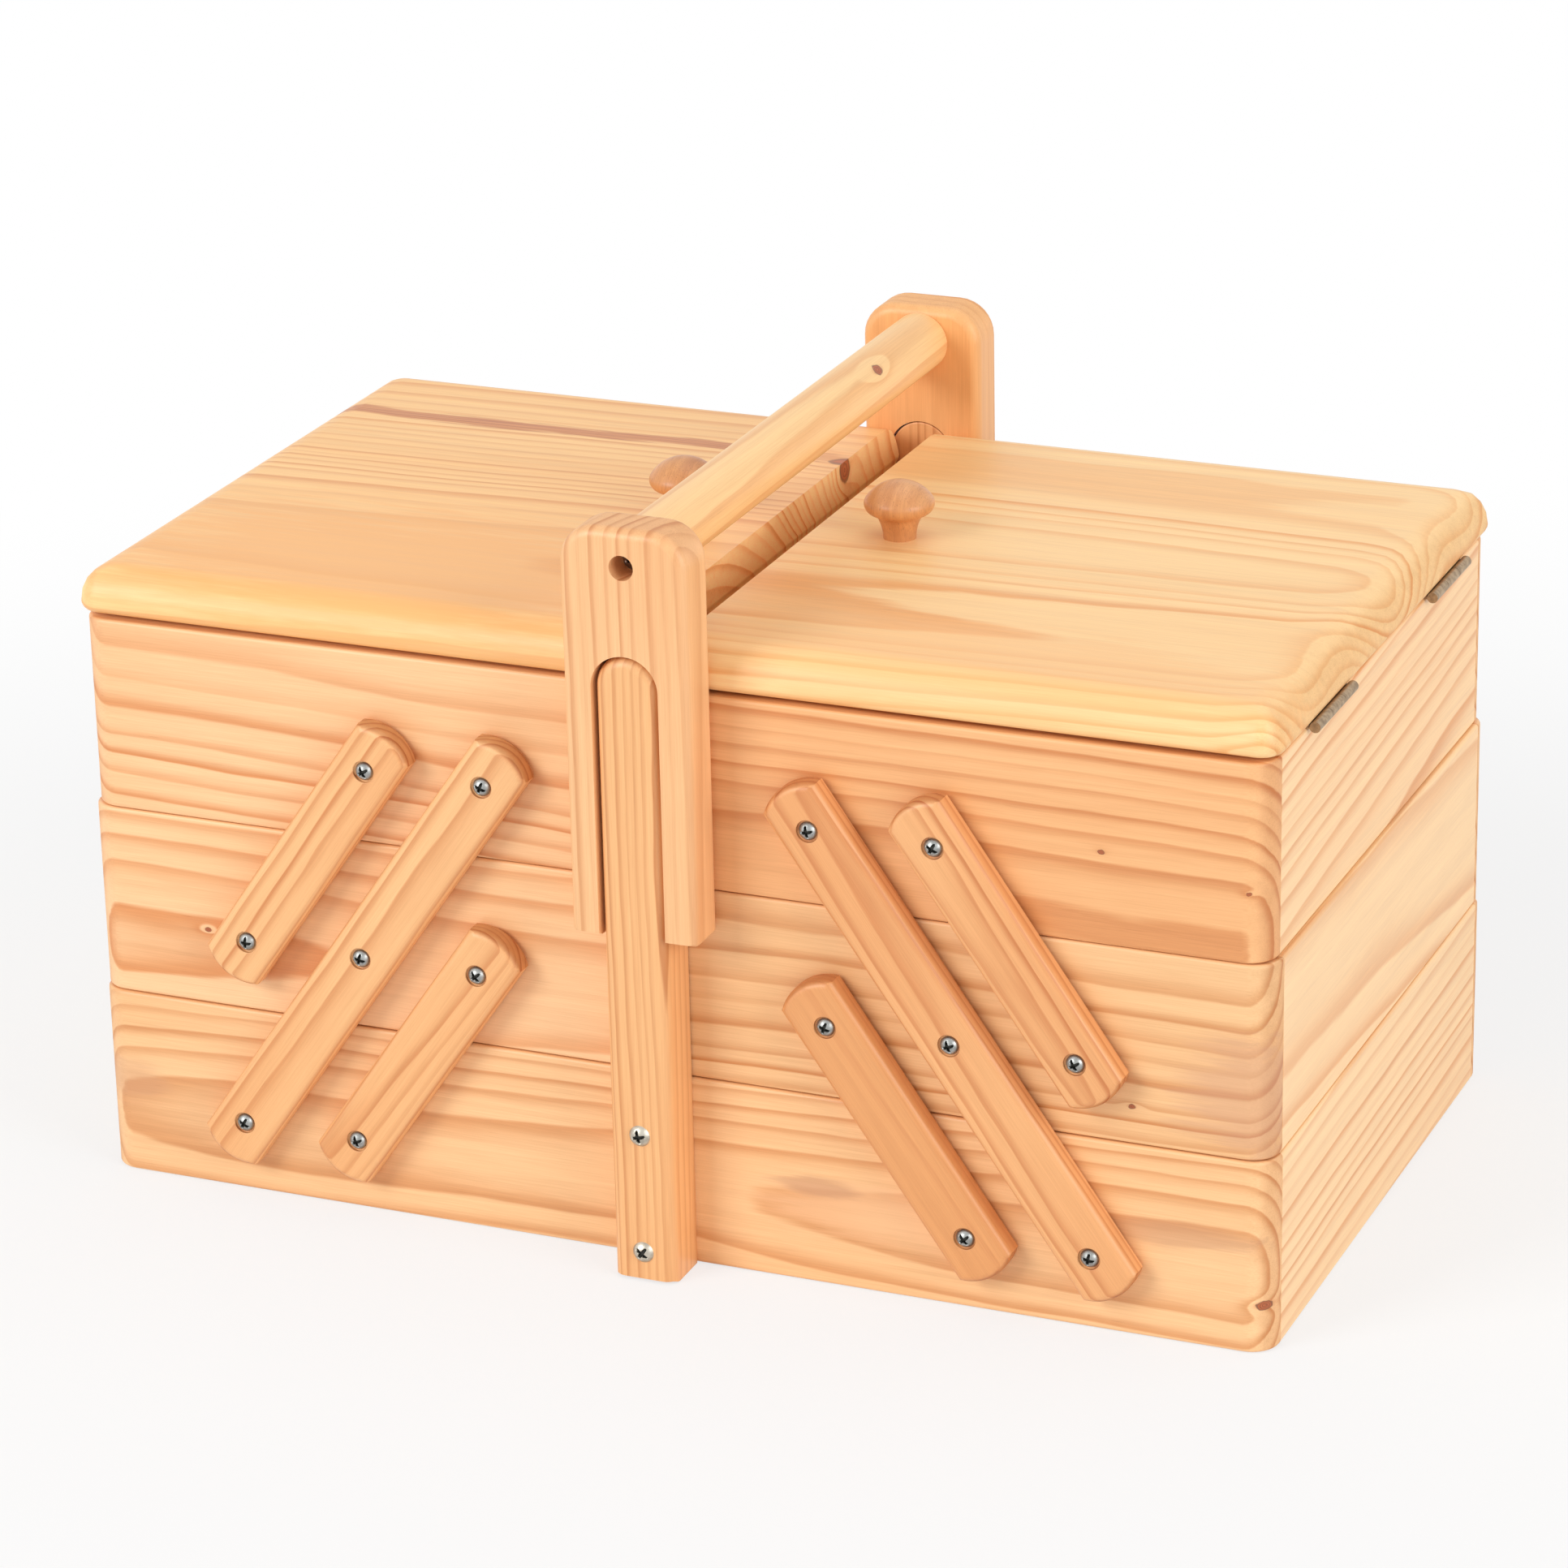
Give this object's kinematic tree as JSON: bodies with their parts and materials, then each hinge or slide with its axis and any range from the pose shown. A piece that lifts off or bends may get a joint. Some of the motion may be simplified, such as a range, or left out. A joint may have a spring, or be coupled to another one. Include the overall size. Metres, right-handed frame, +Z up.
{
  "type": "sewing carrier",
  "caption": "Wooden three-tier sewing box with cantilever trays that spread to both sides on swinging links, hinged lids with knobs and a dowel carrying handle.",
  "frame": {"origin": "centre of the base's underside, on the surface the box stands on", "axes": "+X to the right along the length, -Y is the front, +Z up"},
  "size_m": [0.4048, 0.268, 0.2485],
  "materials": {
    "board_wood": "satin varnished pine",
    "lid_wood": "satin varnished pine",
    "link_wood": "satin varnished pine",
    "upright_wood": "satin varnished pine",
    "dowel_wood": "satin varnished pine",
    "knob_wood": "satin varnished beech",
    "plywood": "sanded plywood",
    "screw_zinc": "bright zinc plated",
    "upright_screw_nickel": "matte nickel plated",
    "hinge_brass": "antique brass, dull"
  },
  "bodies": {
    "base": {"base_front_board": "board_wood", "base_back_board": "board_wood", "base_left_end": "board_wood", "base_right_end": "board_wood", "base_bottom_panel": "plywood", "base_pivot_screws": "screw_zinc", "upright_screws": "upright_screw_nickel", "handle_dowel": "dowel_wood", "handle_screws": "screw_zinc", "front_upright": "upright_wood", "back_upright": "upright_wood", "front_handle_bracket": "upright_wood", "back_handle_bracket": "upright_wood"},
    "left_long_links": {"left_front_long_link": "link_wood", "left_back_long_link": "link_wood"},
    "left_lower_links": {"left_front_lower_link": "link_wood", "left_back_lower_link": "link_wood"},
    "left_upper_links": {"left_front_upper_link": "link_wood", "left_back_upper_link": "link_wood"},
    "left_middle_tray": {"left_middle_tray_front": "board_wood", "left_middle_tray_back": "board_wood", "left_middle_tray_outer_end": "board_wood", "left_middle_tray_inner_end": "board_wood", "left_middle_tray_bottom_panel": "plywood", "left_middle_tray_screws": "screw_zinc"},
    "left_top_tray": {"left_top_tray_front": "board_wood", "left_top_tray_back": "board_wood", "left_top_tray_outer_end": "board_wood", "left_top_tray_inner_end": "board_wood", "left_top_tray_bottom_panel": "plywood", "left_top_tray_screws": "screw_zinc", "left_top_tray_hinge_leaves": "hinge_brass"},
    "left_lid": {"left_lid_board": "lid_wood", "left_lid_knob": "knob_wood", "left_lid_hinge_leaves": "hinge_brass", "left_lid_screws": "screw_zinc"},
    "right_long_links": {"right_front_long_link": "link_wood", "right_back_long_link": "link_wood"},
    "right_lower_links": {"right_front_lower_link": "link_wood", "right_back_lower_link": "link_wood"},
    "right_upper_links": {"right_front_upper_link": "link_wood", "right_back_upper_link": "link_wood"},
    "right_middle_tray": {"right_middle_tray_front": "board_wood", "right_middle_tray_back": "board_wood", "right_middle_tray_outer_end": "board_wood", "right_middle_tray_inner_end": "board_wood", "right_middle_tray_bottom_panel": "plywood", "right_middle_tray_screws": "screw_zinc"},
    "right_top_tray": {"right_top_tray_front": "board_wood", "right_top_tray_back": "board_wood", "right_top_tray_outer_end": "board_wood", "right_top_tray_inner_end": "board_wood", "right_top_tray_bottom_panel": "plywood", "right_top_tray_screws": "screw_zinc", "right_top_tray_hinge_leaves": "hinge_brass"},
    "right_lid": {"right_lid_board": "lid_wood", "right_lid_knob": "knob_wood", "right_lid_hinge_leaves": "hinge_brass", "right_lid_screws": "screw_zinc"}
  },
  "joints": [
    {"name": "left_fold", "type": "hinge", "parent": "base", "child": "left_long_links", "pos_m": [-0.1445, 0, 0.0275], "axis": [0, -1, 0], "range_deg": [0, 70.22]},
    {"name": "left_middle_tray_level", "type": "hinge", "parent": "left_long_links", "child": "left_middle_tray", "pos_m": [-0.0995, 0, 0.0915], "axis": [0, -1, 0], "range_deg": [-70.22, 0]},
    {"name": "left_top_tray_level", "type": "hinge", "parent": "left_long_links", "child": "left_top_tray", "pos_m": [-0.0545, 0, 0.1555], "axis": [0, -1, 0], "range_deg": [-70.22, 0]},
    {"name": "left_lower_links_swing", "type": "hinge", "parent": "base", "child": "left_lower_links", "pos_m": [-0.104, 0, 0.0275], "axis": [0, -1, 0], "range_deg": [0, 70.22]},
    {"name": "left_upper_links_swing", "type": "hinge", "parent": "left_middle_tray", "child": "left_upper_links", "pos_m": [-0.14, 0, 0.0915], "axis": [0, -1, 0], "range_deg": [0, 70.22]},
    {"name": "left_lid_hinge", "type": "hinge", "parent": "left_top_tray", "child": "left_lid", "pos_m": [-0.2007, 0, 0.19235], "axis": [0, -1, 0], "range_deg": [0, 200]},
    {"name": "right_fold", "type": "hinge", "parent": "base", "child": "right_long_links", "pos_m": [0.1445, 0, 0.0275], "axis": [0, 1, 0], "range_deg": [0, 70.22]},
    {"name": "right_middle_tray_level", "type": "hinge", "parent": "right_long_links", "child": "right_middle_tray", "pos_m": [0.0995, 0, 0.0915], "axis": [0, 1, 0], "range_deg": [-70.22, 0]},
    {"name": "right_top_tray_level", "type": "hinge", "parent": "right_long_links", "child": "right_top_tray", "pos_m": [0.0545, 0, 0.1555], "axis": [0, 1, 0], "range_deg": [-70.22, 0]},
    {"name": "right_lower_links_swing", "type": "hinge", "parent": "base", "child": "right_lower_links", "pos_m": [0.104, 0, 0.0275], "axis": [0, 1, 0], "range_deg": [0, 70.22]},
    {"name": "right_upper_links_swing", "type": "hinge", "parent": "right_middle_tray", "child": "right_upper_links", "pos_m": [0.14, 0, 0.0915], "axis": [0, 1, 0], "range_deg": [0, 70.22]},
    {"name": "right_lid_hinge", "type": "hinge", "parent": "right_top_tray", "child": "right_lid", "pos_m": [0.2007, 0, 0.19235], "axis": [0, 1, 0], "range_deg": [0, 200]}
  ],
  "couplings": [
    {"joint": "left_middle_tray_level", "follows": "left_fold", "ratio": -1},
    {"joint": "left_top_tray_level", "follows": "left_fold", "ratio": -1},
    {"joint": "left_lower_links_swing", "follows": "left_fold", "ratio": 1},
    {"joint": "left_upper_links_swing", "follows": "left_fold", "ratio": 1},
    {"joint": "right_middle_tray_level", "follows": "right_fold", "ratio": -1},
    {"joint": "right_top_tray_level", "follows": "right_fold", "ratio": -1},
    {"joint": "right_lower_links_swing", "follows": "right_fold", "ratio": 1},
    {"joint": "right_upper_links_swing", "follows": "right_fold", "ratio": 1}
  ]
}
